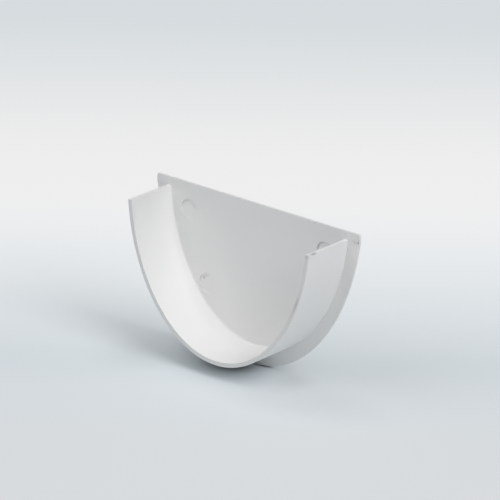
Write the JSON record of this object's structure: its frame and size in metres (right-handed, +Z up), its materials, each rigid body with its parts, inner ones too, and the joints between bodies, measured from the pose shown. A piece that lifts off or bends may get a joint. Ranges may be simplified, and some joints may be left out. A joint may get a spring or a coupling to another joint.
{
  "type": "gutter stop end",
  "caption": "Stop end for a deep flow gutter: a flat flanged end plate with a short open trough-shaped spigot that plugs into a fitting, moulded in one piece.",
  "frame": {"origin": "middle of the flange's stop face, at the height of the spigot's two top edges", "axes": "+X across the gutter, +Y along the gutter and out through the closed end, +Z up"},
  "size_m": [0.1292, 0.0314, 0.0843],
  "materials": {
    "pvc_u": "white moulded PVC-U with a soft satin gloss"
  },
  "bodies": {
    "root": {"stop_end": "pvc_u"}
  },
  "joints": []
}
